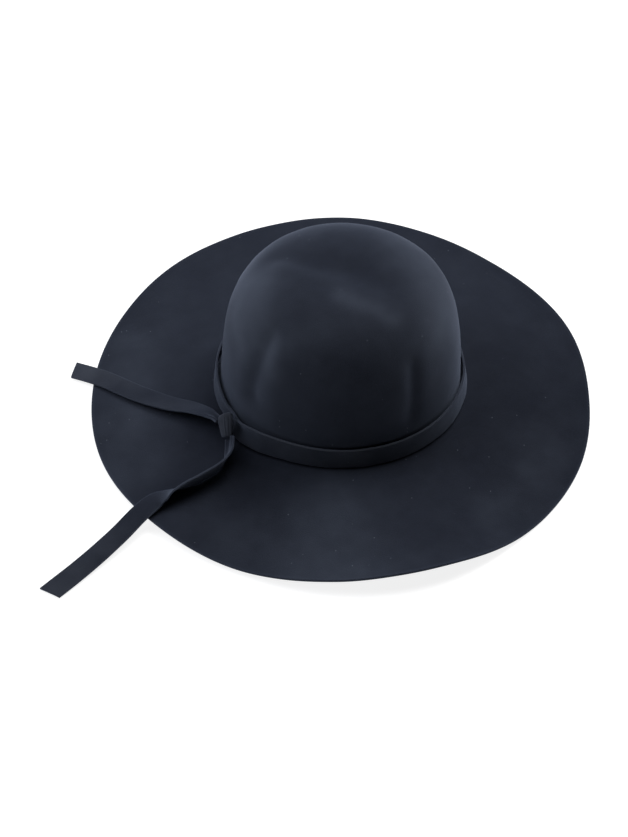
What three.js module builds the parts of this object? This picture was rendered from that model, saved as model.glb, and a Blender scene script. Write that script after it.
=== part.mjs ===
import * as THREE from 'three';

// Wide-brim felt hat with a felt strip tied round the crown, lying on a table.
// Millimetres, +Z up, +X along the hat's long axis, the knot at the near left.
// Angles run round the crown from +X towards +Y, heights are over the table.

// Felt of the hat
const FELT = 2.2; // thickness
const HAT_X = 8.7; // middle of the crown, from the middle of the whole outline
const HAT_Y = 3.2;

// Crown, sizes of the felt's middle layer
const CROWN_A = 94; // half length of the head oval
const CROWN_B = 86; // half width of the head oval
const BREAK_Z = 15; // height of the line where brim and crown meet
const CROWN_H = 125; // crown above that line
const SIDE_POWER = 3.3; // how square the shoulder is, seen from the side
const TOP_POWER = 4.5; // how flat the top is
const SIDE_TAPER = 0.088; // share the crown narrows up to its top
const LEAN = 1.6; // how far the top has gone over towards +X
const FOOT_R = 7; // curve from the crown's wall into the brim

// Brim: reach from the wall's foot to the cut edge, edge = height of the felt's middle there,
// sag = how far the felt hangs down two thirds of the way out
const BRIM = [
  { angle: 0, reach: 105, edge: 1.1, sag: 0 },
  { angle: 22.5, reach: 109.5, edge: 1.1, sag: 0 },
  { angle: 45, reach: 108.5, edge: 1.1, sag: 0 },
  { angle: 67.5, reach: 110, edge: 4.5, sag: 0 },
  { angle: 90, reach: 111, edge: 8.5, sag: 0 },
  { angle: 112.5, reach: 108.5, edge: 8.5, sag: 0 },
  { angle: 135, reach: 110, edge: 4, sag: 0 },
  { angle: 157.5, reach: 105.5, edge: 2, sag: 0 },
  { angle: 180, reach: 104, edge: 1.1, sag: 0 },
  { angle: 202.5, reach: 105.5, edge: 2.5, sag: 0 },
  { angle: 225, reach: 105.5, edge: 8, sag: 0 },
  { angle: 247.5, reach: 105, edge: 4.5, sag: 1 },
  { angle: 270, reach: 106, edge: 12, sag: 3.6 },
  { angle: 292.5, reach: 107.5, edge: 16, sag: 3.6 },
  { angle: 315, reach: 107.5, edge: 3, sag: 1 },
  { angle: 337.5, reach: 107, edge: 1.1, sag: 0 },
];
const BRIM_FALL = 1.35; // 1 is a straight cone, more is steeper at the crown
const LYING = 0.3; // the underside lies flat where it comes this close to the table

// Soft folds of the crown: a line from one point to another, how deep (a ridge is negative)
// and how wide
const FOLDS = [
  { x1: -50.8, y1: -50.1, z1: 117, x2: -67.2, y2: -56.2, z2: 58, depth: 2.4, width: 10.5 },
  { x1: 53, y1: -60.2, z1: 102, x2: 53.8, y2: -68.5, z2: 48, depth: 1.1, width: 8.5 },
  { x1: -46, y1: 12, z1: 134, x2: 30, y2: -16, z2: 139, depth: 1.6, width: 13 },
  { x1: -48, y1: 4, z1: 136, x2: 40, y2: -40, z2: 131, depth: -0.9, width: 7.5 },
];

// Felt strip: the band round the crown, the knot and the two ends are cut from it
const STRIP = 1.8; // thickness
const STRIP_W = 16.5; // width

// Band: low and high are heights of its edges over the break line, off is how far it
// stands off the crown there, flare how far its lower edge stands out besides, and sink how
// far its middle goes in between the edges, most beside the knot, which gathers it
const BAND_FOOT = 4.5; // inner face from the head oval at the lower edge
const BAND_TOP = 2.7; // and at the upper edge
const BAND = [
  { angle: 0, low: 2.5, high: 19.2, off: 0, flare: 0, sink: 0 },
  { angle: 45, low: 2.5, high: 19.2, off: 0, flare: 0, sink: 0 },
  { angle: 90, low: 2.5, high: 19.2, off: 0, flare: 0, sink: 0 },
  { angle: 135, low: 2.5, high: 19.2, off: 0, flare: 0, sink: 0 },
  { angle: 180, low: 2.5, high: 19.2, off: 0, flare: 0, sink: 0 },
  { angle: 194, low: 2.8, high: 19, off: 0.2, flare: 0, sink: 0 },
  { angle: 202, low: 4.2, high: 17.8, off: 0.6, flare: 0, sink: 0.4 },
  { angle: 208, low: 6, high: 16.2, off: 1, flare: 0, sink: 0.8 },
  { angle: 214, low: 6, high: 15.6, off: 1.1, flare: 0.6, sink: 2 },
  { angle: 220, low: 4.4, high: 17, off: 3.6, flare: 2.4, sink: 2.6 },
  { angle: 228, low: 2.8, high: 18.6, off: 2.4, flare: 2.8, sink: 1 },
  { angle: 245, low: 2.5, high: 19.2, off: -0.2, flare: 1.2, sink: 0 },
  { angle: 270, low: 2.5, high: 19.2, off: -0.4, flare: 0, sink: 0 },
  { angle: 300, low: 2.5, high: 19.2, off: -0.3, flare: 0, sink: 0 },
];

// Knot: the strip wrapped over its own start and pulled tight, from its top down: the
// middle, half the width across, half the depth, and how far its left side bulges out
// where the upper end comes from under it
const KNOT = [
  { x: -86.2, y: -53.6, z: 34.4, half: 3.2, deep: 1.6, lobe: 0 },
  { x: -86, y: -54.5, z: 33.8, half: 4.3, deep: 2.6, lobe: 0.5 },
  { x: -85.8, y: -56.4, z: 32, half: 4.8, deep: 3.1, lobe: 1.6 },
  { x: -85.7, y: -58.8, z: 29.6, half: 4.8, deep: 3.2, lobe: 1.8 },
  { x: -85.6, y: -61.2, z: 27.2, half: 4.7, deep: 3.1, lobe: 1.2 },
  { x: -85.5, y: -63.6, z: 24.8, half: 4.6, deep: 2.9, lobe: 0.6 },
  { x: -85.4, y: -65.6, z: 22.6, half: 4.3, deep: 2.5, lobe: 0.2 },
  { x: -85.2, y: -66.5, z: 21.6, half: 3.6, deep: 1.8, lobe: 0 },
];

// Section of the knot, shares of half the width and half the depth: a flat face in front
// from a ridge at the left, a side that rolls in at the right. The face looks KNOT_TURN
// degrees to the left of -Y, and LOBE_AT is the row that bulges most, counted from 0
const KNOT_TURN = 10;
const LOBE_AT = 10;
const KNOT_SECTION = [
  { across: -0.3, front: 1 },
  { across: 0.25, front: 1.04 },
  { across: 0.72, front: 0.99 },
  { across: 0.98, front: 0.7 },
  { across: 1.02, front: 0.1 },
  { across: 0.95, front: -0.6 },
  { across: 0.55, front: -0.98 },
  { across: -0.1, front: -1.05 },
  { across: -0.75, front: -0.9 },
  { across: -1.08, front: -0.4 },
  { across: -1.06, front: 0.1 },
  { across: -0.74, front: 0.62 },
];

// Ends of the strip, from the knot to the tip: its middle, the share of its width that is
// not yet gathered, and its roll, the near edge rising with a positive roll
const TAIL_UPPER = [
  { x: -92.1, y: -57.1, z: 27.5, wide: 0.42, roll: 32 },
  { x: -94.8, y: -52.2, z: 25.9, wide: 0.54, roll: 27 },
  { x: -98.8, y: -47.3, z: 24, wide: 0.7, roll: 21 },
  { x: -104.6, y: -41.7, z: 21.8, wide: 0.9, roll: 18 },
  { x: -116, y: -34, z: 17.4, wide: 1, roll: 16 },
  { x: -134, y: -26, z: 12.8, wide: 1, roll: 9 },
  { x: -160, y: -12, z: 7.8, wide: 1, roll: 1 },
  { x: -185, y: 4, z: 4.2, wide: 1, roll: 0 },
  { x: -199, y: 10.5, z: 3.5, wide: 1, roll: 0 },
  { x: -215, y: 17, z: 2.2, wide: 1, roll: 0 },
];
const UPPER_CUT = 1.8; // the tip is cut askew, this much longer at the far edge
const TAIL_LOWER = [
  { x: -83.2, y: -68.7, z: 21.8, wide: 0.56, roll: 50 },
  { x: -83, y: -77, z: 21.8, wide: 0.8, roll: 60 },
  { x: -84.2, y: -86, z: 21.4, wide: 1, roll: 67 },
  { x: -90.6, y: -96.4, z: 21.4, wide: 1, roll: 71 },
  { x: -104.5, y: -106.9, z: 20.2, wide: 1, roll: 70 },
  { x: -113.5, y: -111.4, z: 18.8, wide: 1, roll: 66 },
  { x: -121.3, y: -115, z: 17, wide: 1, roll: 54 },
  { x: -128.8, y: -118.2, z: 14, wide: 1, roll: 30 },
  { x: -137, y: -122.5, z: 11.9, wide: 1, roll: 9 },
  { x: -147.5, y: -133.5, z: 10.6, wide: 1, roll: 5 },
  { x: -163.5, y: -153, z: 6.6, wide: 1, roll: 4 },
  { x: -184.5, y: -176, z: 2.8, wide: 1, roll: 0 },
  { x: -207, y: -199.5, z: 1.1, wide: 1, roll: 0 },
];
const LOWER_CUT = 2.6;

// Value between the rows of a closed table, a smooth curve through them
function around(table, column, degrees) {
  const n = table.length;
  const at = ((degrees % 360) + 360) % 360;
  let i = n - 1;
  while (table[i].angle > at) {
    i -= 1;
  }
  const a0 = table[i].angle;
  const next = table[(i + 1) % n];
  const a1 = i + 1 < n ? next.angle : next.angle + 360;
  const f = (at - a0) / (a1 - a0);
  const p0 = table[(i + n - 1) % n][column];
  const p1 = table[i][column];
  const p2 = next[column];
  const p3 = table[(i + 2) % n][column];
  const c2 = 2 * p0 - 5 * p1 + 4 * p2 - p3;
  const c3 = 3 * (p1 - p2) + p3 - p0;
  return p1 + 0.5 * f * (p2 - p0 + f * (c2 + f * c3));
}

// Point on the head oval moved outwards by `out`, at height z
function ovalPoint(angle, out, z) {
  const c = Math.cos(angle);
  const s = Math.sin(angle);
  const nx = c / CROWN_A;
  const ny = s / CROWN_B;
  const n = Math.hypot(nx, ny);
  return new THREE.Vector3(CROWN_A * c + (out * nx) / n, CROWN_B * s + (out * ny) / n, z);
}

// Crown's middle layer, `rise` is 90 degrees at the top and 0 at the break line
function crownPoint(angle, rise) {
  const t = Math.sin(rise) ** (2 / TOP_POWER);
  const share = Math.cos(rise) ** (2 / SIDE_POWER) * (1 - SIDE_TAPER * t);
  const x = CROWN_A * share * Math.cos(angle) + LEAN * t;
  const y = CROWN_B * share * Math.sin(angle);
  return new THREE.Vector3(x, y, BREAK_Z + CROWN_H * t);
}

// Brim's middle layer, `out` from the wall's foot; the last stretch lies flat where it is down
function brimPoint(angle, share) {
  const degrees = THREE.MathUtils.radToDeg(angle);
  const out = share * (around(BRIM, 'reach', degrees) - FELT / 2);
  const edge = Math.max(around(BRIM, 'edge', degrees), FELT / 2);
  const sag = around(BRIM, 'sag', degrees) * 6.75 * share ** 2 * (1 - share);
  const slope = edge + (BREAK_Z - edge) * (1 - share) ** BRIM_FALL - sag;
  const foot = out < FOOT_R ? FOOT_R - Math.sqrt(FOOT_R ** 2 - (FOOT_R - out) ** 2) : 0;
  return ovalPoint(angle, out, Math.max(slope - 0.5 * share, FELT / 2) + foot);
}

// Outward unit normals of a stack of rings
function ringNormals(rings) {
  const m = rings[0].length;
  return rings.map((ring, i) => {
    const before = rings[Math.max(i - 1, 0)];
    const after = rings[Math.min(i + 1, rings.length - 1)];
    return ring.map((p, j) => {
      const along = after[j].clone().sub(before[j]);
      const round = ring[(j + 1) % m].clone().sub(ring[(j + m - 1) % m]);
      return along.cross(round).normalize();
    });
  });
}

// How deep the soft folds press the crown in at a point
function foldDepth(point) {
  let depth = 0;
  for (const fold of FOLDS) {
    const line = new THREE.Line3(
      new THREE.Vector3(fold.x1, fold.y1, fold.z1),
      new THREE.Vector3(fold.x2, fold.y2, fold.z2),
    );
    const nearest = line.closestPointToPoint(point, true, new THREE.Vector3());
    depth += fold.depth * Math.exp(-((nearest.distanceTo(point) / fold.width) ** 2));
  }
  return depth;
}

// Closed solid from a stack of closed rings; an open stack gets a flat end at each side
function loft(rings, closed) {
  const m = rings[0].length;
  const points = rings.flat();
  const faces = [];
  const steps = closed ? rings.length : rings.length - 1;
  for (let i = 0; i < steps; i++) {
    const a = i * m;
    const b = ((i + 1) % rings.length) * m;
    for (let j = 0; j < m; j++) {
      const k = (j + 1) % m;
      faces.push([a + j, b + j, b + k], [a + j, b + k, a + k]);
    }
  }
  if (!closed) {
    const middle = (ring) => {
      const sum = ring.reduce((s, p) => s.add(p), new THREE.Vector3());
      return sum.divideScalar(m);
    };
    const first = points.length;
    points.push(middle(rings[0]), middle(rings[rings.length - 1]));
    const end = (rings.length - 1) * m;
    for (let j = 0; j < m; j++) {
      const k = (j + 1) % m;
      faces.push([first, j, k], [first + 1, end + k, end + j]);
    }
  }
  let volume = 0;
  for (const [a, b, c] of faces) {
    volume += points[a].dot(points[b].clone().cross(points[c]));
  }
  const index = faces.flatMap(([a, b, c]) => (volume > 0 ? [a, b, c] : [a, c, b]));
  const geometry = new THREE.BufferGeometry();
  geometry.setFromPoints(points);
  geometry.setIndex(index);
  geometry.computeVertexNormals();
  geometry.translate(HAT_X, HAT_Y, 0);
  return geometry;
}

// Crown and brim, one piece of felt blocked to shape, hollow beneath
function feltBody() {
  const columns = 72;
  const rises = [89.6, 88, 84, 77, 68, 58, 48, 38, 29, 21, 14, 8.5, 4.5, 1.8, 0.5];
  const shares = [0.012, 0.034, 0.066, 0.13, 0.22, 0.34, 0.47, 0.6, 0.72, 0.83, 0.92, 1];
  const angles = Array.from({ length: columns }, (_, j) => (j / columns) * 2 * Math.PI);
  const middle = [];
  for (const rise of rises) {
    middle.push(angles.map((a) => crownPoint(a, THREE.MathUtils.degToRad(rise))));
  }
  for (const share of shares) {
    middle.push(angles.map((a) => brimPoint(a, share)));
  }
  const smooth = ringNormals(middle);
  middle.forEach((ring, i) => {
    ring.forEach((p, j) => p.addScaledVector(smooth[i][j], -foldDepth(p)));
  });
  const normals = ringNormals(middle);
  const side = (way) =>
    middle.map((ring, i) =>
      ring.map((p, j) => {
        const q = p.clone().addScaledVector(normals[i][j], (way * FELT) / 2);
        q.z = q.z < LYING ? 0 : q.z;
        return q;
      }),
    );
  const last = middle.length - 1;
  const edge = middle[last].map((p, j) => {
    const outward = p.clone().sub(middle[last - 1][j]).normalize();
    return p.clone().addScaledVector(outward, FELT / 2);
  });
  return loft([...side(1), edge, ...side(-1).reverse()], false);
}

// Band: the strip laid round the foot of the crown, standing off it a little at the knot
function hatBand() {
  const columns = 96;
  const rings = [];
  for (let j = 0; j < columns; j++) {
    const angle = (j / columns) * 2 * Math.PI;
    const degrees = THREE.MathUtils.radToDeg(angle);
    const low = around(BAND, 'low', degrees);
    const high = around(BAND, 'high', degrees);
    const off = around(BAND, 'off', degrees);
    const flare = around(BAND, 'flare', degrees);
    const sink = around(BAND, 'sink', degrees);
    const face = (height) => {
      const up = (height - low) / (high - low);
      const straight = BAND_FOOT + (BAND_TOP - BAND_FOOT) * up + off + flare * (1 - up);
      return straight - sink * 4 * up * (1 - up);
    };
    const heights = [low, (low * 2 + high) / 3, (low + high * 2) / 3, high];
    const inner = heights.map((h) => ovalPoint(angle, face(h), BREAK_Z + h));
    const outer = heights.reverse().map((h) => ovalPoint(angle, face(h) + STRIP, BREAK_Z + h));
    rings.push([...inner, ...outer]);
  }
  return loft(rings, true);
}

// Section of the strip: flat with its corners taken off
function stripSection(middle, across, up, wide) {
  const w = wide / 2;
  const t = STRIP / 2;
  const c = 0.5;
  const corners = [
    [w - c, t],
    [w, t - c],
    [w, c - t],
    [w - c, -t],
    [c - w, -t],
    [-w, c - t],
    [-w, t - c],
    [c - w, t],
  ];
  return corners.map(([a, b]) =>
    middle.clone().addScaledVector(across, a).addScaledVector(up, b),
  );
}

// Knot: its section scaled and stacked from its top to its foot
function bandKnot() {
  const outline = new THREE.CatmullRomCurve3(
    KNOT_SECTION.map((row) => new THREE.Vector3(row.across, row.front, 0)),
    true,
    'catmullrom',
    0.5,
  );
  const section = Array.from({ length: 24 }, (_, j) => {
    const place = (j / 24) * KNOT_SECTION.length;
    const away = Math.abs(place - LOBE_AT);
    const nearer = Math.min(away, KNOT_SECTION.length - away);
    return { point: outline.getPoint(j / 24), lobe: Math.exp(-((nearer / 0.9) ** 2)) };
  });
  const turn = THREE.MathUtils.degToRad(KNOT_TURN);
  const middle = new THREE.CatmullRomCurve3(
    KNOT.map((row) => new THREE.Vector3(row.x, row.y, row.z)),
    false,
    'catmullrom',
    0.5,
  );
  const steps = (KNOT.length - 1) * 3;
  const rings = [];
  for (let i = 0; i <= steps; i++) {
    const t = (i / steps) * (KNOT.length - 1);
    const row = Math.min(Math.floor(t), KNOT.length - 2);
    const f = t - row;
    const half = KNOT[row].half + (KNOT[row + 1].half - KNOT[row].half) * f;
    const deep = KNOT[row].deep + (KNOT[row + 1].deep - KNOT[row].deep) * f;
    const lobe = KNOT[row].lobe + (KNOT[row + 1].lobe - KNOT[row].lobe) * f;
    const along = middle.getTangent(i / steps);
    const across = new THREE.Vector3(1, 0, 0).addScaledVector(along, -along.x).normalize();
    across.applyAxisAngle(along, turn);
    const front = along.clone().cross(across).normalize();
    const point = middle.getPoint(i / steps);
    rings.push(
      section.map((s) => {
        const p = point.clone().addScaledVector(across, s.point.x * half);
        p.addScaledVector(front, s.point.y * deep);
        p.x -= lobe * s.lobe;
        return p;
      }),
    );
  }
  return loft(rings, false);
}

// Free end of the strip, following its table, its tip cut askew
function tail(table, cut) {
  const n = table.length - 1;
  const path = new THREE.CatmullRomCurve3(
    table.map((row) => new THREE.Vector3(row.x, row.y, row.z)),
    false,
    'catmullrom',
    0.5,
  );
  const steps = n * 4;
  const rings = [];
  for (let i = 0; i <= steps; i++) {
    const t = i / steps;
    const row = Math.min(Math.floor(t * n), n - 1);
    const f = t * n - row;
    const wide = STRIP_W * (table[row].wide + (table[row + 1].wide - table[row].wide) * f);
    const roll = table[row].roll + (table[row + 1].roll - table[row].roll) * f;
    const along = path.getTangent(t);
    const level = new THREE.Vector3(0, 0, 1).cross(along).normalize();
    const lift = along.clone().cross(level);
    const angle = THREE.MathUtils.degToRad(roll);
    const across = level.clone().multiplyScalar(Math.cos(angle));
    across.addScaledVector(lift, Math.sin(angle));
    const up = along.clone().cross(across);
    const ring = stripSection(path.getPoint(t), across, up, wide);
    if (i === steps) {
      const centre = path.getPoint(1);
      ring.forEach((p) => {
        const side = p.clone().sub(centre).dot(across) / (wide / 2);
        p.addScaledVector(along, -cut * side);
      });
    }
    rings.push(ring);
  }
  return loft(rings, false);
}

const hat = new THREE.Group();
hat.name = 'wide_brim_felt_hat';

function add(name, geometry, colour) {
  const material = new THREE.MeshStandardMaterial({ color: colour, roughness: 0.95, metalness: 0 });
  material.name = `${name}_felt`;
  const mesh = new THREE.Mesh(geometry, material);
  mesh.name = name;
  hat.add(mesh);
}

add('felt_body', feltBody(), 0x262a33);
add('hat_band', hatBand(), 0x14161e);
add('band_knot', bandKnot(), 0x181b22);
add('tail_upper', tail(TAIL_UPPER, UPPER_CUT), 0x1a1d25);
add('tail_lower', tail(TAIL_LOWER, LOWER_CUT), 0x1a1d25);

export default hat;
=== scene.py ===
import math

import bpy
import numpy as np
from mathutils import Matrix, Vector


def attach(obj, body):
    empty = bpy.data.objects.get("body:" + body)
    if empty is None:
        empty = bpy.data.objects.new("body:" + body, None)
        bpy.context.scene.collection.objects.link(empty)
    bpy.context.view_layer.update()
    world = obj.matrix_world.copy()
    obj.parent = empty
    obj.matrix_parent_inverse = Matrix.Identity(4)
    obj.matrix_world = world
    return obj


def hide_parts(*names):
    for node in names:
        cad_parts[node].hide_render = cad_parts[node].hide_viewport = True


# Looks of a wide-brim felt hat with a felt strip tied round its crown.
# Sizes in millimetres, +Z up, angles run round the crown from +X towards +Y.
# Heights are over the table, and x and y are from the middle of the crown until a
# mesh is made, where MIDDLE moves them into the part's frame.

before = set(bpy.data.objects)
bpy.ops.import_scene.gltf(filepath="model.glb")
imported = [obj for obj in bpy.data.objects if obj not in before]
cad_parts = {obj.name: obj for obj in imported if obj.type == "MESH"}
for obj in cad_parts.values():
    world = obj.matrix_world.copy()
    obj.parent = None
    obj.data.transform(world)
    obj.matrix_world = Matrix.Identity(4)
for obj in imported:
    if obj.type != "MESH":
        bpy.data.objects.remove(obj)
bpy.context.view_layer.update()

MM = 0.001
MIDDLE = np.array([8.7, 3.2, 0.0])

# Felt of the hat: its thickness, half axes of the head oval, height of the break line between
# brim and crown, height of the crown over it, powers that square its side and its top, how
# much it narrows and leans towards the top, radius of its foot, and how the brim falls
FELT = 2.2
CROWN_A = 94.0
CROWN_B = 86.0
BREAK_Z = 15.0
CROWN_H = 125.0
SIDE_POWER = 3.3
TOP_POWER = 4.5
SIDE_TAPER = 0.088
LEAN = 1.6
FOOT_R = 7.0
BRIM_FALL = 1.35
BRIM_DROP = 0.5

# Brim: angle, reach from the wall's foot to the cut edge, height of the felt's middle there,
# how far the felt sags two thirds of the way out
BRIM = np.array([
    (0, 105, 1.1, 0), (22.5, 109.5, 1.1, 0), (45, 108.5, 1.1, 0), (67.5, 110, 4.5, 0),
    (90, 111, 8.5, 0), (112.5, 108.5, 8.5, 0), (135, 110, 4, 0), (157.5, 105.5, 2, 0),
    (180, 104, 1.1, 0), (202.5, 105.5, 2.5, 0), (225, 105.5, 8, 0), (247.5, 105, 4.5, 1),
    (270, 106, 12, 3.6), (292.5, 107.5, 16, 3.6), (315, 107.5, 3, 1), (337.5, 107, 1.1, 0),
])
REACH, EDGE, SAG = 1, 2, 3
# Makes share^2 (1 - share) one at its peak
SAG_FACTOR = 6.75

# Folds pressed into the crown: from a point to a point, how deep (a ridge is negative), how
# wide. They start FOLD_FROM over the break line and are whole FOLD_FADE higher.
FOLDS = np.array([
    (-50.8, -50.1, 117, -67.2, -56.2, 58, 2.4, 10.5),
    (53, -60.2, 102, 53.8, -68.5, 48, 1.1, 8.5),
    (-46, 12, 134, 30, -16, 139, 1.6, 13),
    (-48, 4, 136, 40, -40, 131, -0.9, 7.5),
])
FOLD_FROM = 12
FOLD_FADE = 30

# Finer modelling of the same crown, under 2 mm: a flatter front left, the two dents' cores
# and the broad hollow across the top
SOFT_FOLDS = np.array([
    (-33, -78, 42, -30, -70, 90, 1.3, 18),
    (-51, -51, 115, -66, -57, 62, 0.9, 6),
    (53.5, -62, 98, 54, -68.5, 50, 1, 5.5),
    (-45, 8, 134, 32, -20, 139, 1.6, 22),
])

# Unevenness that the block and the hand leave: height, length, start of its random draw. It
# is made of waves, their lengths spread about the one given. The brim's grows from SWELL_FROM
# over the table, to its full height SWELL_FADE higher.
SWELL_WAVES = 9
SWELL_SPREAD = (0.7, 1.5)
CROWN_SWELLS = ((0.35, 55, 3), (0.12, 21, 5))
BRIM_SWELL = (0.3, 48, 11)
SWELL_FROM = 3
SWELL_FADE = 6

# Felt's cut edge: angles from its middle up and down, its depth as a share of half the
# thickness, powers that square its corners, and the share of its colour in the next ring
EDGE_ANGLES = (72, 54, 36, 18, 0, -18, -36, -54, -72)
EDGE_DEPTH = 0.8
EDGE_POWERS = (0.7, 0.55)
EDGE_SHARE = 0.4

# Grid of the felt: points round it, rings up the crown and over the brim, how much closer the
# brim's rings stand near the wall, steps of the crown's profile and its lowest angle, how far
# the first ring is from the top and the last one over the foot
FELT_ROUND = 360
CROWN_RINGS = 66
BRIM_RINGS = 58
BRIM_CLOSER = 1.15
PROFILE_STEPS = 6000
PROFILE_END = 1e-4
FIRST_RING = 0.8
FOOT_CLEAR = 0.6

# Painted light, patches lit paler on crown and brim: from a point to a point, how much, how wide
PAINTED_LIGHT_PATCHES = np.array([
    (-68, -8, 124, -62, -42, 110, 0.95, 20),
    (-51, -55, 106, -51, -63, 92, 0.45, 9),
    (48, 28, 134, 71, -34, 113, 0.9, 19),
    (-79, -16, 107, -73, -41, 92, 0.4, 9),
    (0, -30, 139.5, 38, -45, 131, 0.65, 7.5),
    (-32, -58, 124, -24, -60, 122, 0.25, 14),
    (-30, -56, 126, 30, -57, 126, 0.3, 26),
    (-6, -128, 13, -6, -180, 10, 0.6, 40),
    (-171, 40, 4, -160, -85, 4, 0.4, 28),
    (-101, -139, 8, -72, -155, 6, 0.3, 22),
    (157, -62, 4, 120, -130, 3, 0.3, 25),
])
# The same painted light, paler where light falls, for the knot, for the two ends (from this share
# of the length on, and how much at the tip), and for the band as a highlight, most in front (its
# face and its cut edge)
KNOT_PAINTED_LIGHT = 0.7
UPPER_PAINTED_LIGHT = (0.55, 0.42)
LOWER_PAINTED_LIGHT = (0.55, 0.33)
BAND_PAINTED_LIGHT = (0.3, 1.0)
BAND_PAINTED_LIGHT_POWER = 3

# Felt strip: its thickness and width, the band's distance from the head oval at its lower and
# its upper edge
STRIP = 1.8
STRIP_W = 16.5
BAND_FOOT = 4.5
BAND_TOP = 1.9
# Its section: points across a face, depth of the rounded edge, its angles and powers
FACE_POINTS = 25
STRIP_EDGE = 0.62
STRIP_EDGE_ANGLES = (65, 38, 12, -12, -38, -65)
STRIP_EDGE_POWERS = (0.8, 0.7)

# Band: angle, its edges over the break line, how far it stands off, flare of its lower edge,
# how far its middle sinks between its edges
BAND = np.array([
    (0, 2.5, 19.2, 0, 0, 0), (45, 2.5, 19.2, 0, 0, 0), (90, 2.5, 19.2, 0, 0, 0),
    (135, 2.5, 19.2, 0, 0, 0), (180, 2.5, 19.2, 0, 0, 0), (194, 2.8, 19, 0.2, 0, 0),
    (202, 4.2, 17.8, 0.6, 0, 0.4), (208, 6, 16.2, 1, 0, 0.8), (214, 6, 15.6, 1.1, 0.6, 2.3),
    (220, 4.4, 17, 3.6, 2.4, 3.6), (228, 2.8, 18.6, 2.4, 2.8, 1.4), (245, 2.5, 19.2, -0.2, 1.2, 0),
    (270, 2.5, 19.2, -0.4, 0, 0), (300, 2.5, 19.2, -0.3, 0, 0),
])
LOW, HIGH, OFF, FLARE, SINK = 1, 2, 3, 4, 5
BAND_ROUND = 480
BAND_SWELLS = ((0.18, 26, 7), (0.08, 11, 8))

# Knot, from its top down: middle x, y, z, half the width across, half the depth, how far its
# left side bulges out where the upper end comes from under it
KNOT = np.array([
    (-86.2, -53.6, 34.4, 3.2, 1.6, 0),
    (-86, -54.5, 33.8, 4.3, 2.6, 0.5),
    (-85.8, -56.4, 32, 4.8, 3.1, 1.6),
    (-85.7, -58.8, 29.6, 4.8, 3.2, 1.8),
    (-85.6, -61.2, 27.2, 4.7, 3.1, 1.2),
    (-85.5, -63.6, 24.8, 4.6, 2.9, 0.6),
    (-85.4, -65.6, 22.6, 4.3, 2.5, 0.2),
    (-85.2, -66.5, 21.6, 3.6, 1.8, 0),
])
# Its section, as shares of half the width and half the depth: a wide face in front from a
# ridge at the left, a side that rolls in at the right. The face looks KNOT_TURN degrees to
# the left of -Y. LOBE_AT is the row that bulges most, and LOBE_WIDE how many rows bulge.
KNOT_SECTION = np.array([
    (-0.3, 1), (0.25, 1.04), (0.72, 0.99), (0.98, 0.7), (1.02, 0.1), (0.95, -0.6),
    (0.55, -0.98), (-0.1, -1.05), (-0.75, -0.9), (-1.08, -0.4), (-1.06, 0.1), (-0.74, 0.62),
])
KNOT_TURN = 10
LOBE_AT = 10
LOBE_WIDE = 0.9
# Creases down its front: place across at the top and at the foot, depth, width as a share.
# Along the knot they grow and fade as a half sine wave to a power, the wave ending just above
# the foot; from front to side they fade in from CREASE_FROM of the half depth on.
KNOT_CREASES = np.array([
    (-0.25, 0.08, 0.35, 0.14), (0.48, 0.55, 0.35, 0.12), (-0.62, -0.35, 0.2, 0.12),
])
CREASE_ALONG = 1.02
CREASE_POWER = 0.5
CREASE_FROM = 0.5
CREASE_FADE = 3
KNOT_SWELL = (0.2, 9, 31)
KNOT_RINGS = 90
KNOT_ROUND = 132

# Ends of the strip, from the knot to the tip: middle x, y, z, share of the width that is
# not gathered, roll in degrees (the near edge rises with a positive roll)
UPPER_END = np.array([
    (-92.1, -57.1, 27.5, 0.42, 32), (-94.8, -52.2, 25.9, 0.54, 27), (-98.8, -47.3, 24, 0.7, 21),
    (-104.6, -41.7, 21.8, 0.9, 18), (-116, -34, 17.4, 1, 16), (-134, -26, 12.8, 1, 9),
    (-160, -12, 7.8, 1, 1), (-185, 4, 4.2, 1, 0), (-199, 10.5, 3.5, 1, 0), (-215, 17, 2.2, 1, 0),
])
LOWER_END = np.array([
    (-83.2, -68.7, 21.8, 0.56, 50), (-83, -77, 21.8, 0.8, 60), (-84.2, -86, 21.4, 1, 67),
    (-90.6, -96.4, 21.4, 1, 71), (-104.5, -106.9, 20.2, 1, 70), (-113.5, -111.4, 18.8, 1, 66),
    (-121.3, -115, 17, 1, 54), (-128.8, -118.2, 14, 1, 30), (-137, -122.5, 11.9, 1, 9),
    (-147.5, -133.5, 10.6, 1, 5), (-163.5, -153, 6.6, 1, 4), (-184.5, -176, 2.8, 1, 0),
    (-207, -199.5, 1.1, 1, 0),
])
# How far one corner is drawn back to the knot, how far the tip is cut askew to each side of
# its middle, and over which shares of the length
UPPER_CUT = (0.8, 1.8)
LOWER_CUT = (0, 2.6)
ROOT_SHARE = 0.03
TIP_SHARE = 0.04
# Pleats beside the knot: how high, over which share of the length, how fast they die away
GATHER = 1.1
GATHER_SHARE = 0.13
GATHER_POWER = 1.5
# Slight crown across the strip, its unevenness (height, length, and the start of each end's
# random draw), its lowest point over the table
STRIP_BOW = 0.35
END_SWELL = (0.15, 22)
UPPER_DRAW = 21
LOWER_DRAW = 22
LOWEST = 0.15
END_RINGS = 220
PATH_STEPS = 400

# Camera, in the part's frame: place, degrees down and to the left, lens and sensor, nearest
# and farthest view in metres
CAMERA_AT = (8.7, -866.7, 982.1)
CAMERA_PITCH = 49.385
CAMERA_TURN = 1.363
CAMERA_LENS = 70.5
CAMERA_SENSOR = 36.0
CAMERA_NEAR = 0.05
CAMERA_FAR = 300.0

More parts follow.
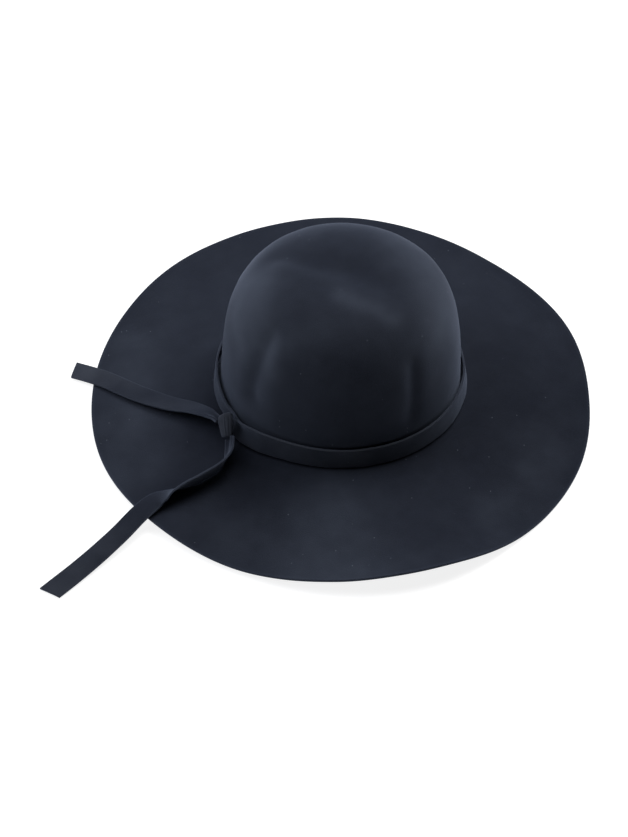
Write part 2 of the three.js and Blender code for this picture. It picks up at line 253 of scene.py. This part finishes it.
# Softboxes: name, azimuth (0 behind the hat, 90 at its right), elevation, watts, colour; and
# for all of them the distance and side in metres and the height in metres they are aimed at
LIGHTS = (
    ("overhead_box", 0, 74, 8.6, "#ffffff"),
    ("high_right_box", 35, 56, 21, "#ffffff"),
    ("high_left_box", -80, 56, 7.2, "#f6f9ff"),
    ("back_left_box", -60, 36, 3.7, "#f6f9ff"),
    ("left_box", -92, 31, 5.6, "#f2f6ff"),
    ("low_left_box", -80, 14, 2, "#f2f6ff"),
    ("right_box", 64, 40, 4.3, "#ffffff"),
)
LIGHT_FAR = 1.7
LIGHT_SIDE = 0.9
LIGHT_AIM = 0.05

# Sheet under the hat, in metres: half its side, so wide that its far end is the horizon in
# low views, and its height, a hair under the brim. GLOW is how bright it and the wall are.
SHEET_HALF = 100.0
SHEET_Z = -0.0003
GLOW = 0.85

# Patterns of the felt in cells a metre: fibres 0.8 mm wide, mottling 6 mm, clouds 31 mm, and
# a cell every 4 mm for lint, with its radius as a share and the share of cells left clean
FIBRES = 1250.0
MOTTLING = 170.0
CLOUDS = 32.0
LINT_CELLS = 250.0
LINT_RADIUS = 0.09
LINT_FREE = 0.94
LINT_COLOUR = "#565a63"
# How much the mottling adds to the fibres, and where their sum is darkest and lightest
MOTTLING_SHARE = 0.35
TONE_FROM = 0.45
TONE_TO = 0.95
# Clouds times the first plus the second: how strong the painted light is, and the haze all over
PAINTED_LIGHT_CLOUDS = (0.9, 0.55)
HAZE_CLOUDS = (0.5, -0.2)
# The nap's shine where the felt turns away
SHEEN = 0.2
SHEEN_COLOUR = "#cedeff"


def catmull_rom(p0, p1, p2, p3, f):
    """Point at the share f of the way from p1 to p2, on the cubic through p1 and p2 that runs
    at each of them along the line between its neighbours."""
    return p1 + 0.5 * f * (
        p2 - p0 + f * (2 * p0 - 5 * p1 + 4 * p2 - p3 + f * (3 * (p1 - p2) + p3 - p0))
    )


def around(table, column, degrees):
    """Value between the rows of a closed table at many angles: a Catmull-Rom curve."""
    at = np.mod(degrees, 360)
    angles, values = table[:, 0], table[:, column]
    i = np.searchsorted(angles, at, side="right") - 1
    ends = np.append(angles, 360)
    f = (at - angles[i]) / (ends[i + 1] - angles[i])
    return catmull_rom(*(values[(i + k) % len(values)] for k in (-1, 0, 1, 2)), f)


def through(rows, count):
    """Rows of a table at `count` even steps along it: a Catmull-Rom curve through its points."""
    rows = np.vstack([2 * rows[0] - rows[1], rows, 2 * rows[-1] - rows[-2]])
    at = np.linspace(0, len(rows) - 3, count)
    i = np.minimum(at.astype(int), len(rows) - 4)
    return catmull_rom(*(rows[i + k] for k in range(4)), (at - i)[:, None])


def closed_curve(points, count):
    """Closed Catmull-Rom curve through points, at even steps of its parameter."""
    at = np.arange(count) / count * len(points)
    i = at.astype(int)
    neighbours = (points[(i + k) % len(points)] for k in (-1, 0, 1, 2))
    return catmull_rom(*neighbours, (at - i)[:, None])


def evenly(line, count):
    """Points at equal steps of length along a line of points, their other columns with them."""
    step = np.linalg.norm(np.diff(line[:, :3], axis=0), axis=1)
    along = np.append(0, np.cumsum(step))
    at = np.linspace(0, along[-1], count)
    return np.stack([np.interp(at, along, column) for column in line.T], axis=1)


def unit(v):
    """Vectors of length one."""
    return v / np.maximum(np.linalg.norm(v, axis=-1, keepdims=True), 1e-12)


def turns(count):
    """Angles of `count` points evenly round a circle, in radians."""
    return np.arange(count) / count * 2 * np.pi


def oval(angle, out):
    """Point on the head oval moved outwards along its normal by `out`, as x and y."""
    nx, ny = np.cos(angle) / CROWN_A, np.sin(angle) / CROWN_B
    n = np.hypot(nx, ny)
    x = CROWN_A * np.cos(angle) + out * nx / n
    y = CROWN_B * np.sin(angle) + out * ny / n
    return x, y


def swell(points, height, size, seed):
    """Smooth unevenness mostly under `height`: it times twice the mean of sine waves about
    `size` long, each wave in its own direction and with its own start."""
    draw = np.random.default_rng(seed)
    total = np.zeros(points.shape[:-1])
    for _ in range(SWELL_WAVES):
        way = unit(draw.normal(size=3)) * 2 * np.pi / (size * draw.uniform(*SWELL_SPREAD))
        total += np.sin(points @ way + draw.uniform(0, 2 * np.pi))
    return height * (total / (SWELL_WAVES / 2))


def grid_normals(grid):
    """Unit normals of a grid of points whose rows are closed rings: along cross round."""
    along = np.gradient(grid, axis=0)
    round_ = np.roll(grid, -1, axis=1) - np.roll(grid, 1, axis=1)
    return unit(np.cross(along, round_))


def pressed(points, folds):
    """How deep folds press a surface in: each a bell curve of the distance to its line."""
    depth = np.zeros(points.shape[:-1])
    for fold in folds:
        a, b = fold[:3], fold[3:6]
        t = np.clip((points - a) @ (b - a) / np.dot(b - a, b - a), 0, 1)
        far = np.linalg.norm(points - (a + t[..., None] * (b - a)), axis=-1)
        depth += fold[6] * np.exp(-((far / fold[7]) ** 2))
    return depth


def ring_faces(rows, columns, closed_rows=False):
    """Quads between neighbouring rings of a grid, each ring closed on itself."""
    r = np.arange(rows if closed_rows else rows - 1)[:, None]
    c = np.arange(columns)[None, :]
    below, right = (r + 1) % rows, (c + 1) % columns
    quads = [r * columns + c, below * columns + c, below * columns + right, r * columns + right]
    return np.stack(np.broadcast_arrays(*quads), axis=-1).reshape(-1, 4)


def fan(centre, ring):
    """Triangles from a centre point to a closed ring of point numbers."""
    return np.stack([np.full(len(ring), centre), ring, np.roll(ring, -1)], axis=-1)


def mesh_piece(name, points, quads, triangles, attributes, finish):
    """A smooth mesh object at the origin from millimetre points, with its point attributes and
    its faces turned outwards by the sign of the volume they enclose."""
    tri = np.vstack([quads[:, [0, 1, 2]], quads[:, [0, 2, 3]], triangles])
    a, b, c = (points[tri[:, i]] for i in range(3))
    if np.einsum("ij,ij->", a, np.cross(b, c)) < 0:
        quads, triangles = quads[:, ::-1], triangles[:, ::-1]
    mesh = bpy.data.meshes.new(name)
    mesh.vertices.add(len(points))
    mesh.vertices.foreach_set("co", ((points + MIDDLE) * MM).astype(np.float32).ravel())
    loops = np.concatenate([quads.ravel(), triangles.ravel()]).astype(np.int32)
    sizes = np.concatenate([np.full(len(quads), 4), np.full(len(triangles), 3)])
    mesh.loops.add(len(loops))
    mesh.loops.foreach_set("vertex_index", loops)
    mesh.polygons.add(len(sizes))
    starts = np.append(0, np.cumsum(sizes)[:-1]).astype(np.int32)
    mesh.polygons.foreach_set("loop_start", starts)
    mesh.update(calc_edges=True)
    mesh.validate()
    mesh.shade_smooth()
    for key, values in attributes.items():
        layer = mesh.attributes.new(key, "FLOAT", "POINT")
        layer.data.foreach_set("value", np.asarray(values, np.float32).ravel())
    piece = bpy.data.objects.new(name, mesh)
    bpy.context.scene.collection.objects.link(piece)
    mesh.materials.append(finish)
    return piece


def closed_piece(name, rings, cut, painted_light, poles_cut, poles_painted_light, finish, proud=0.0):
    """A mesh of a stack of rings, closed at both ends by triangles to a pole in the middle of
    the first ring and of the last. The poles stand `proud` over their rings, and have their
    own cut and painted light values."""
    rows, columns = rings.shape[:2]
    poles = np.array([rings[0].mean(0), rings[-1].mean(0)])
    poles[:, 2] += proud
    first, last = rows * columns, (rows - 1) * columns
    caps = np.vstack([
        fan(first, np.arange(columns)),
        fan(first + 1, last + np.arange(columns)[::-1]),
    ])
    attributes = {
        "cut": np.append(cut.ravel(), poles_cut),
        "painted_light": np.append(painted_light.ravel(), poles_painted_light),
    }
    points = np.vstack([rings.reshape(-1, 3), poles])
    return mesh_piece(name, points, ring_faces(rows, columns), caps, attributes, finish)


def crown_rings(angles):
    """Crown's middle layer from the top down. With t the share of the height, the ring is the
    head oval times (1 - t^TOP_POWER)^(1/SIDE_POWER), less a taper that grows with t."""
    fine = np.linspace(np.pi / 2, PROFILE_END, PROFILE_STEPS)
    t = np.sin(fine) ** (2 / TOP_POWER)
    share = np.cos(fine) ** (2 / SIDE_POWER) * (1 - SIDE_TAPER * t)
    wall = t * CROWN_H > FOOT_R + FOOT_CLEAR
    profile = np.stack([share * CROWN_A, t * CROWN_H, share, t], axis=1)[wall]
    step = np.linalg.norm(np.diff(profile[:, :2], axis=0), axis=1)
    along = np.append(0, np.cumsum(step))
    at = np.linspace(FIRST_RING, along[-1], CROWN_RINGS)
    share = np.interp(at, along, profile[:, 2])[:, None]
    t = np.interp(at, along, profile[:, 3])[:, None]
    x = CROWN_A * share * np.cos(angles) + LEAN * t
    y = CROWN_B * share * np.sin(angles)
    z = BREAK_Z + CROWN_H * t + 0 * angles
    return np.stack([x, y, z], axis=-1)


def brim_rings(angles):
    """Brim's middle layer: out along the oval's normals, its height falling from the break
    line to the edge as (1 - share)^BRIM_FALL, less a sag of SAG_FACTOR share^2 (1 - share),
    plus the round foot of the wall."""
    degrees = np.degrees(angles)
    share = (np.linspace(0, 1, BRIM_RINGS) ** BRIM_CLOSER)[:, None]
    out = share * (around(BRIM, REACH, degrees) - FELT / 2)
    edge = np.maximum(around(BRIM, EDGE, degrees), FELT / 2)
    sag = around(BRIM, SAG, degrees) * SAG_FACTOR * share**2 * (1 - share)
    slope = edge + (BREAK_Z - edge) * (1 - share) ** BRIM_FALL - sag
    inside = np.clip(FOOT_R - out, 0, FOOT_R)
    foot = FOOT_R - np.sqrt(FOOT_R**2 - inside**2)
    x, y = oval(angles, out)
    z = np.maximum(slope - BRIM_DROP * share, FELT / 2) + foot
    return np.stack([x, y, z], axis=-1)


def felt_shell(finish):
    """Crown and brim as one felt: the middle layer, pressed in by its folds and slightly
    uneven, moved half the thickness to each side along its normals, with a cut edge that is a
    squared half round. Its painted light, paler where light falls, is bell curves too, on the
    outside alone."""
    angles = turns(FELT_ROUND)
    middle = np.vstack([crown_rings(angles), brim_rings(angles)])
    normals = grid_normals(middle)
    top = middle[:, :, 2]
    on_crown = np.clip((top - BREAK_Z - FOLD_FROM) / FOLD_FADE, 0, 1)[..., None]
    hand = sum(swell(middle, *each) for each in CROWN_SWELLS)[..., None]
    dents = pressed(middle, FOLDS) + pressed(middle, SOFT_FOLDS)
    middle = middle - dents[..., None] * normals * on_crown
    middle = middle + hand * on_crown * normals
    loose = np.clip((top - SWELL_FROM) / SWELL_FADE, 0, 1) * (1 - on_crown[..., 0])
    middle[:, :, 2] += swell(middle, *BRIM_SWELL) * loose
    normals = grid_normals(middle)
    out = unit(middle[-1] - middle[-3])
    edge = []
    for a in np.radians(EDGE_ANGLES):
        reach = abs(math.cos(a)) ** EDGE_POWERS[0]
        rise = math.copysign(abs(math.sin(a)) ** EDGE_POWERS[1], a)
        edge.append(middle[-1] + FELT / 2 * (EDGE_DEPTH * reach * out + rise * normals[-1]))
    outer, inner = middle + FELT / 2 * normals, middle - FELT / 2 * normals
    rings = np.concatenate([outer, np.array(edge), inner[::-1]])
    rings[:, :, 2] = np.maximum(rings[:, :, 2], 0)
    rows = len(middle)
    inside = rows + len(edge)
    cut = np.zeros(rings.shape[:2])
    cut[rows:inside] = 1
    cut[rows - 1] = cut[inside] = EDGE_SHARE
    # Painted light: patches made paler where light falls on the crown and the brim
    painted_light = np.clip(pressed(rings, PAINTED_LIGHT_PATCHES), 0, 1)
    painted_light[inside:] = 0
    return closed_piece("felt_shell", rings, cut, painted_light, [0, 0], [0, 0], finish, proud=0.01)


def strip_section():
    """Closed section of the strip: two flat faces and two cut edges, each a squared half
    round. A row gives the place across, the height, and 1 on a cut edge."""
    w = STRIP_W / 2 - STRIP_EDGE
    face = np.linspace(-1, 1, FACE_POINTS)
    turn = np.radians(np.array(STRIP_EDGE_ANGLES))
    over = STRIP_EDGE * np.cos(turn) ** STRIP_EDGE_POWERS[0]
    high = STRIP / 2 * np.sign(turn) * np.abs(np.sin(turn)) ** STRIP_EDGE_POWERS[1]
    top = [(f * w, STRIP / 2, 0.0) for f in face]
    rim = [(w + a, b, 1.0) for a, b in zip(over, high)]
    bottom = [(-f * w, -STRIP / 2, 0.0) for f in face]
    other = [(-w - a, -b, 1.0) for a, b in zip(over, high)]
    return np.array(top + rim + bottom + other)


def band_strip(finish):
    """The band: the strip's section carried round the head oval, its face straight from the
    lower edge to the upper one but for where its middle sinks as a parabola, standing off and
    flaring as the table says. Painted light, a highlight most on its cut edge, grows on it as
    a power of how far it faces the front."""
    angles = turns(BAND_ROUND)
    low, high, off, flare, sink = (
        around(BAND, column, np.degrees(angles)) for column in (LOW, HIGH, OFF, FLARE, SINK)
    )
    # Painted highlight on the band, strongest on its cut edge and towards the front
    facing = np.clip(-np.sin(angles), 0, 1) ** BAND_PAINTED_LIGHT_POWER
    rings, cut, painted_light = [], [], []
    for across, up, share in strip_section():
        height = low + (high - low) * (across / STRIP_W + 0.5)
        rise = (height - low) / (high - low)
        out = BAND_FOOT + (BAND_TOP - BAND_FOOT) * rise + off + flare * (1 - rise)
        out = out - sink * 4 * rise * (1 - rise)
        x, y = oval(angles, out + STRIP / 2 + up)
        rings.append(np.stack([x, y, BREAK_Z + height], axis=-1))
        cut.append(np.full(BAND_ROUND, share))
        painted_light.append((BAND_PAINTED_LIGHT[0] + (BAND_PAINTED_LIGHT[1] - BAND_PAINTED_LIGHT[0]) * share) * facing)
    rings = np.array(rings)
    ripple = sum(swell(rings, *each) for each in BAND_SWELLS)
    rings[..., :2] += ripple[..., None] * unit(rings[..., :2])
    quads = ring_faces(len(rings), BAND_ROUND, closed_rows=True)
    no_caps = np.zeros((0, 3), int)
    attributes = {"cut": np.array(cut), "painted_light": np.array(painted_light)}
    return mesh_piece("band_strip", rings.reshape(-1, 3), quads, no_caps, attributes, finish)


def loose_end(name, table, askew, light_paint, finish, seed):
    """A free end of the strip: its section carried along the table's curve, turned by the roll
    about the direction of travel, cut askew, its surface slightly uneven. Next to the knot two
    soft pleats run along it, a cosine of one and a half half-waves to each side. Painted light
    makes it paler in a straight line up to its tip."""
    line = evenly(through(table, PATH_STEPS), END_RINGS)
    middle, share, roll = line[:, :3], line[:, 3], np.radians(line[:, 4])
    along = unit(np.gradient(middle, axis=0))
    level = unit(np.cross([0, 0, 1], along))
    lift = np.cross(along, level)
    across = level * np.cos(roll)[:, None] + lift * np.sin(roll)[:, None]
    up = np.cross(along, across)
    section = strip_section()
    side = section[:, 0] / (STRIP_W / 2)
    width = STRIP_W / 2 * share[:, None] * side
    end = np.linspace(0, 1, END_RINGS)[:, None]
    ahead = -askew[1] * side * np.clip((end - 1 + TIP_SHARE) / TIP_SHARE, 0, 1)
    ahead = ahead - askew[0] * np.clip(side, 0, 1) * np.clip(1 - end / ROOT_SHARE, 0, 1)
    gather = GATHER * np.clip(1 - end / GATHER_SHARE, 0, 1) ** GATHER_POWER
    bow = STRIP_BOW * (1 - side**2) * np.clip(share[:, None], 0, 1)
    thick = section[:, 1] + (bow - gather * np.cos(1.5 * np.pi * side))
    rings = (
        middle[:, None]
        + across[:, None] * width[..., None]
        + up[:, None] * thick[..., None]
        + along[:, None] * ahead[..., None]
    )
    rings = rings + swell(rings, *END_SWELL, seed)[..., None] * up[:, None]
    rings[..., 2] = np.maximum(rings[..., 2], LOWEST)
    cut = np.broadcast_to(section[:, 2], rings.shape[:2]).copy()
    cut[-1] = 1
    # Painted light: the end grows paler towards its tip
    painted_light = light_paint[1] * np.clip((end - light_paint[0]) / (1 - light_paint[0]), 0, 1) + 0 * cut
    return closed_piece(name, rings, cut, painted_light, [1, 1], [0, light_paint[1]], finish)


def knot_wrap(finish):
    """The knot's wrap: its section scaled and carried down its axis, pressed in along creases
    that are bell curves of the distance across, and bulging to the left as a bell curve of the
    place along the section."""
    line = evenly(through(KNOT, PATH_STEPS), KNOT_RINGS)
    middle, half, deep, bulge = line[:, :3], line[:, 3], line[:, 4], line[:, 5]
    along = unit(np.gradient(middle, axis=0))
    x_axis = np.array([1.0, 0, 0])
    level = unit(x_axis - along * (along @ x_axis)[:, None])
    turn = math.radians(KNOT_TURN)
    across = level * math.cos(turn) + np.cross(along, level) * math.sin(turn)
    front = np.cross(along, across)
    c, s = closed_curve(KNOT_SECTION, KNOT_ROUND).T
    count = len(KNOT_SECTION)
    steps = np.abs(np.arange(KNOT_ROUND) / KNOT_ROUND * count - LOBE_AT)
    lobe = np.exp(-((np.minimum(steps, count - steps) / LOBE_WIDE) ** 2))
    down = np.linspace(0, 1, KNOT_RINGS)[:, None]
    fade = np.sin(np.pi * np.clip(down * CREASE_ALONG, 0, 1)) ** CREASE_POWER
    in_front = np.clip((s - CREASE_FROM) * CREASE_FADE, 0, 1)
    creased = np.zeros((KNOT_RINGS, KNOT_ROUND))
    for top, foot, depth, width in KNOT_CREASES:
        at = top + (foot - top) * down
        creased += depth * fade * np.exp(-(((c - at) / width) ** 2)) * in_front
    rings = (
        middle[:, None]
        + across[:, None] * (half[:, None] * c)[..., None]
        + front[:, None] * (deep[:, None] * s - creased)[..., None]
    )
    rings[..., 0] -= bulge[:, None] * lobe
    rings = rings + swell(rings, *KNOT_SWELL)[..., None] * front[:, None]
    cut = np.zeros(rings.shape[:2])
    # Painted light: the whole knot is made paler, as if lit more than the band
    painted_light = np.full(rings.shape[:2], KNOT_PAINTED_LIGHT)
    return closed_piece("knot_wrap", rings, cut, painted_light, [0, 0], [KNOT_PAINTED_LIGHT] * 2, finish)


def linear(code):
    """A colour given as sRGB hex, as linear RGBA."""
    parts = [int(code[i : i + 2], 16) / 255 for i in (1, 3, 5)]
    return [p / 12.92 if p <= 0.04045 else ((p + 0.055) / 1.055) ** 2.4 for p in parts] + [1.0]


def node(tree, kind, settings, links=None):
    """Adds a node: settings are its properties or its inputs' values, links where its inputs
    come from."""
    made = tree.nodes.new("ShaderNode" + kind)
    for key, value in settings.items():
        if isinstance(key, int) or key in made.inputs:
            made.inputs[key].default_value = value
        else:
            setattr(made, key, value)
    for key, source in (links or {}).items():
        tree.links.new(source, made.inputs[key])
    return made


def empty_material(name):
    """A material with no nodes yet, and its node tree."""
    made = bpy.data.materials.new(name)
    made.use_nodes = True
    made.node_tree.nodes.clear()
    return made, made.node_tree


def wool_felt(name, base, light, raw, light_paint):
    """Wool felt pressed hard and brushed: near black, matt, with a short nap that lights up
    where the surface turns away. Fibres about 0.3 mm are drawn 0.8 mm coarse so that they
    show, the pressing leaves soft mottling 6 mm wide, and cut edges are paler. Painted light
    makes it paler in clouds about 30 mm wide where the mesh asks for it, with a slight random
    haze of the same colour all over, and specks of lint 0.7 mm wide cling to it every few
    centimetres."""
    made, tree = empty_material(name)
    where = {"Vector": node(tree, "TexCoord", {}).outputs["Object"]}

    # Colour of fibres and mottling, and of the cut edge
    fibre = node(tree, "TexNoise", {"Scale": FIBRES, "Detail": 3.0, "Roughness": 0.62}, where)
    mottle = node(tree, "TexNoise", {"Scale": MOTTLING, "Detail": 2.0, "Roughness": 0.5}, where)
    both = node(
        tree, "Math", {"operation": "MULTIPLY_ADD", 1: MOTTLING_SHARE},
        {0: mottle.outputs["Fac"], 2: fibre.outputs["Fac"]},
    )
    tone = node(tree, "ValToRGB", {}, {"Fac": both.outputs[0]})
    dark, pale = tone.color_ramp.elements
    dark.position, pale.position = TONE_FROM, TONE_TO
    dark.color, pale.color = linear(base), linear(light)
    cut = node(tree, "Attribute", {"attribute_name": "cut"})
    edge = node(
        tree, "Mix", {"data_type": "RGBA", "B": linear(raw)},
        {"Factor": cut.outputs["Fac"], "A": tone.outputs["Color"]},
    )

    # Painted light in clouds where the mesh asks for it, and a slight random haze all over
    cloud = node(tree, "TexNoise", {"Scale": CLOUDS, "Detail": 2.0, "Roughness": 0.55}, where)
    painted_light = node(tree, "Attribute", {"attribute_name": "painted_light"})
    patchy = node(
        tree, "Math", {"operation": "MULTIPLY_ADD", 1: PAINTED_LIGHT_CLOUDS[0], 2: PAINTED_LIGHT_CLOUDS[1]},
        {0: cloud.outputs["Fac"]},
    )
    much = node(
        tree, "Math", {"operation": "MULTIPLY"},
        {0: painted_light.outputs["Fac"], 1: patchy.outputs[0]},
    )
    haze = node(
        tree, "Math", {"operation": "MULTIPLY_ADD", 1: HAZE_CLOUDS[0], 2: HAZE_CLOUDS[1]},
        {0: cloud.outputs["Fac"]},
    )
    paler = node(
        tree, "Math", {"operation": "ADD", "use_clamp": True},
        {0: much.outputs[0], 1: haze.outputs[0]},
    )
    with_painted_light = node(
        tree, "Mix", {"data_type": "RGBA", "B": linear(light_paint)},
        {"Factor": paler.outputs[0], "A": edge.outputs["Result"]},
    )

    # Lint: a speck in the middle of a few cells
    cell = node(tree, "TexVoronoi", {"Scale": LINT_CELLS}, where)
    small = node(
        tree, "Math", {"operation": "LESS_THAN", 1: LINT_RADIUS}, {0: cell.outputs["Distance"]}
    )
    lot = node(tree, "SeparateColor", {}, {"Color": cell.outputs["Color"]})
    few = node(
        tree, "Math", {"operation": "GREATER_THAN", 1: LINT_FREE}, {0: lot.outputs["Red"]}
    )
    lint = node(
        tree, "Math", {"operation": "MULTIPLY"}, {0: small.outputs[0], 1: few.outputs[0]}
    )
    dusted = node(
        tree, "Mix", {"data_type": "RGBA", "B": linear(LINT_COLOUR)},
        {"Factor": lint.outputs[0], "A": with_painted_light.outputs["Result"]},
    )

    bump = node(
        tree, "Bump", {"Strength": 0.35, "Distance": 0.0004}, {"Height": both.outputs[0]}
    )
    felt = node(
        tree, "BsdfPrincipled",
        {
            "Roughness": 0.92, "IOR": 1.45, "Specular IOR Level": 0.08,
            "Sheen Weight": SHEEN, "Sheen Roughness": 0.6, "Sheen Tint": linear(SHEEN_COLOUR),
        },
        {"Base Color": dusted.outputs["Result"], "Normal": bump.outputs["Normal"]},
    )
    node(tree, "OutputMaterial", {}, {"Surface": felt.outputs["BSDF"]})
    return made


def lit_sheet():
    """Sheet of opal acrylic lit from below: matt, white and even, with the softest shadows. It
    has no pattern of its own."""
    made, tree = empty_material("matt_opal_acrylic")
    acrylic = node(tree, "BsdfPrincipled", {
        "Base Color": linear("#9e9e9e"), "Roughness": 0.95, "Specular IOR Level": 0.1,
        "Emission Color": linear("#ffffff"), "Emission Strength": GLOW,
    })
    node(tree, "OutputMaterial", {}, {"Surface": acrylic.outputs["BSDF"]})
    return made


def floor():
    """The sheet that the hat lies on, one square."""
    a, z = SHEET_HALF, SHEET_Z
    mesh = bpy.data.meshes.new("floor")
    mesh.from_pydata([(-a, -a, z), (a, -a, z), (a, a, z), (-a, a, z)], [], [(0, 1, 2, 3)])
    mesh.materials.append(lit_sheet())
    made = bpy.data.objects.new("floor", mesh)
    bpy.context.scene.collection.objects.link(made)


def softboxes():
    """Square area lights aimed at the crown."""
    target = MIDDLE * MM + np.array([0, 0, LIGHT_AIM])
    for name, azimuth, elevation, power, colour in LIGHTS:
        a, e = math.radians(azimuth), math.radians(elevation)
        way = np.array([math.sin(a) * math.cos(e), math.cos(a) * math.cos(e), math.sin(e)])
        data = bpy.data.lights.new(name, "AREA")
        data.shape = "SQUARE"
        data.size = LIGHT_SIDE
        data.energy = power
        data.color = linear(colour)[:3]
        made = bpy.data.objects.new(name, data)
        bpy.context.scene.collection.objects.link(made)
        made.location = target + way * LIGHT_FAR
        made.rotation_euler = Vector(way).to_track_quat("Z", "Y").to_euler()


def studio():
    """A pale wall all round, as bright as the far end of the sheet. It sends no light to the
    hat, which is lit by the softboxes and the sheet."""
    world = bpy.data.worlds.new("pale_room")
    world.use_nodes = True
    wall = world.node_tree.nodes["Background"]
    wall.inputs["Color"].default_value = linear("#ffffff")
    wall.inputs["Strength"].default_value = GLOW
    world.cycles_visibility.diffuse = False
    world.cycles_visibility.glossy = False
    bpy.context.scene.world = world
    bpy.context.scene.view_settings.view_transform = "Standard"


def camera():
    """The photograph's camera, fitted to the brim, the band and the crown."""
    data = bpy.data.cameras.new("camera")
    data.sensor_fit = "AUTO"
    data.sensor_width = CAMERA_SENSOR
    data.lens = CAMERA_LENS
    data.clip_start = CAMERA_NEAR
    data.clip_end = CAMERA_FAR
    made = bpy.data.objects.new("camera", data)
    bpy.context.scene.collection.objects.link(made)
    made.location = [v * MM for v in CAMERA_AT]
    made.rotation_euler = (math.radians(90 - CAMERA_PITCH), 0, math.radians(CAMERA_TURN))
    bpy.context.scene.camera = made


camera()
studio()
softboxes()
floor()

# The last colour of each felt is its painted light, also used for the random haze
hat_felt = wool_felt("blocked_wool_felt", "#090b12", "#10131d", "#20242e", "#2b2f38")
strip_felt = wool_felt("thin_wool_felt", "#090b12", "#12151f", "#2a2e38", "#3a3d44")

shell = felt_shell(hat_felt)
band = band_strip(strip_felt)
knot = knot_wrap(strip_felt)
upper = loose_end("upper_end", UPPER_END, UPPER_CUT, UPPER_PAINTED_LIGHT, strip_felt, UPPER_DRAW)
lower = loose_end("lower_end", LOWER_END, LOWER_CUT, LOWER_PAINTED_LIGHT, strip_felt, LOWER_DRAW)

for piece, name in (
    (shell, "felt_body"), (band, "hat_band"), (knot, "band_knot"),
    (upper, "tail_upper"), (lower, "tail_lower"),
):
    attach(piece, "root")
    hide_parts(name)
